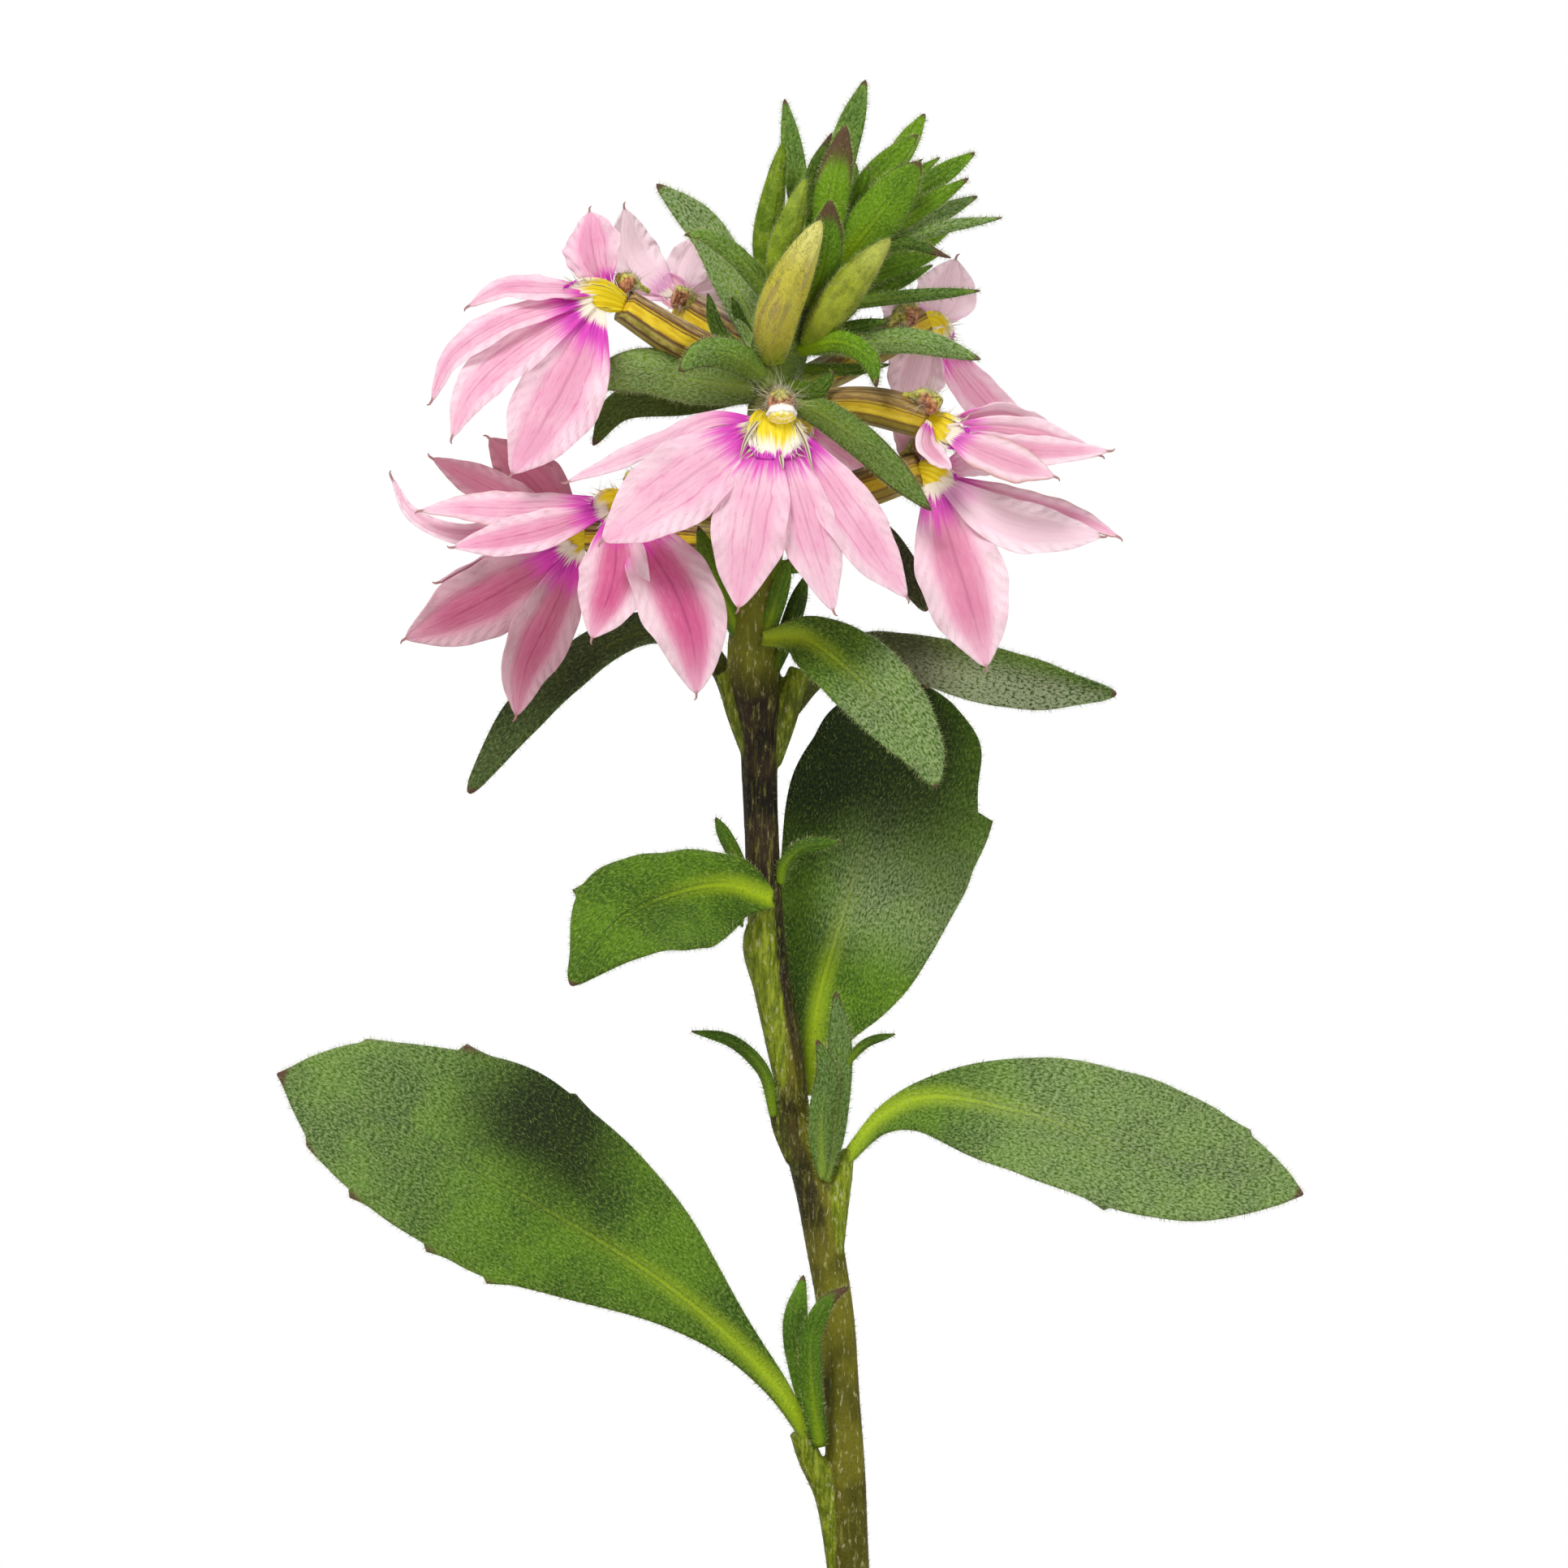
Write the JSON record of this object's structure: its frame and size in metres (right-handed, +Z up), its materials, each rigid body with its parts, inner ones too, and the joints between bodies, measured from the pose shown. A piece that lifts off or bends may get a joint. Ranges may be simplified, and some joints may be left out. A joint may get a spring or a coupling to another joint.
{
  "type": "potted fan flower",
  "caption": "Upright leafy stem of a pink fan flower with a head of green bracts, buds and one-sided open blooms, standing in the soil of a plain clay pot.",
  "frame": {"origin": "middle of the underside of the pot, on the surface it stands on", "axes": "+Z up along the stem, -Y towards the front of the plant, +X to the right seen from the front"},
  "size_m": [0.092, 0.092, 0.2042],
  "materials": {
    "clay": "matte",
    "soil": "matte",
    "stem": "satin",
    "bract": "satin",
    "bud": "matte",
    "leaf": "satin",
    "shoot": "satin",
    "style": "matte",
    "petal": "satin"
  },
  "bodies": {
    "root": {"pot": "clay", "stem": "stem", "soil": "soil", "head": "bract", "bud_1": "bud", "bud_2": "bud", "bud_3": "bud", "bud_4": "bud", "leaf_lower_left": "leaf", "leaf_lower_right": "leaf", "leaf_back": "leaf", "leaf_middle_left": "leaf", "leaf_upper_front": "leaf", "leaf_upper_right": "leaf", "leaf_upper_left": "leaf", "leaf_behind_flower": "leaf", "shoot_low": "shoot", "shoot_right": "shoot", "shoot_left": "shoot", "leaflet_upper_left": "shoot", "leaflet_upper_right": "shoot", "style_front": "style", "style_upper_left": "style", "style_back_left": "style", "style_back_right": "style", "style_right": "style", "style_lower_right": "style", "style_left": "style", "style_lower_left": "style", "style_back": "style", "corolla_front": "petal", "corolla_upper_left": "petal", "corolla_back_left": "petal", "corolla_back_right": "petal", "corolla_right": "petal", "corolla_lower_right": "petal", "corolla_left": "petal", "corolla_lower_left": "petal", "corolla_back": "petal"}
  },
  "joints": []
}
